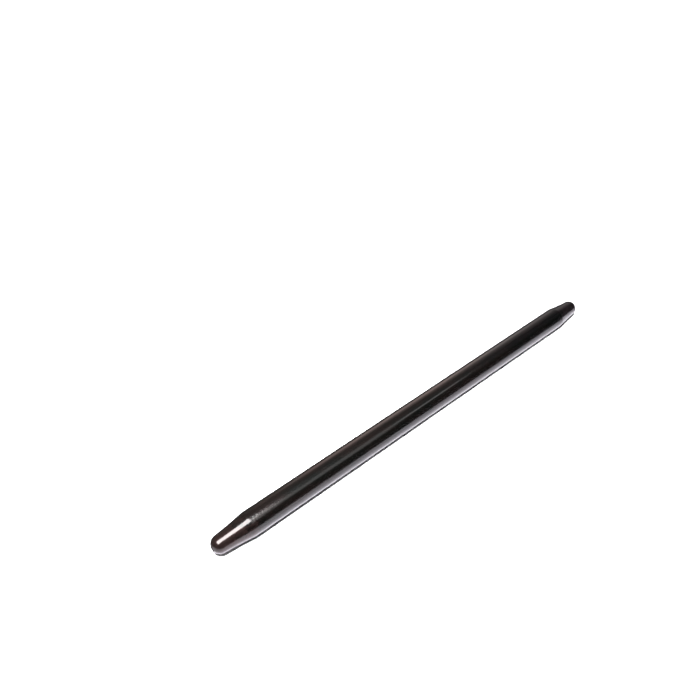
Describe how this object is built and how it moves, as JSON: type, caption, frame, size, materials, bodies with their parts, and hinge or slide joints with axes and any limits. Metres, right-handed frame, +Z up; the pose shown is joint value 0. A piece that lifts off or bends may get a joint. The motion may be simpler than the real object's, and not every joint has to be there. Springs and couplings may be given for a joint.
{
  "type": "engine pushrod",
  "caption": "Slender one-piece steel pushrod: a thick-walled tube whose drawn-down ends finish in ball tips with oil holes.",
  "frame": {"origin": "middle of the rod, on its axis", "axes": "+X along the rod towards its rocker end, +Z up with the rod lying down"},
  "size_m": [0.2344, 0.011, 0.0112],
  "materials": {
    "black_oxide_steel": "glossy black oxide on drawn tube, polished on the ground ends"
  },
  "bodies": {
    "root": {"pushrod": "black_oxide_steel"}
  },
  "joints": []
}
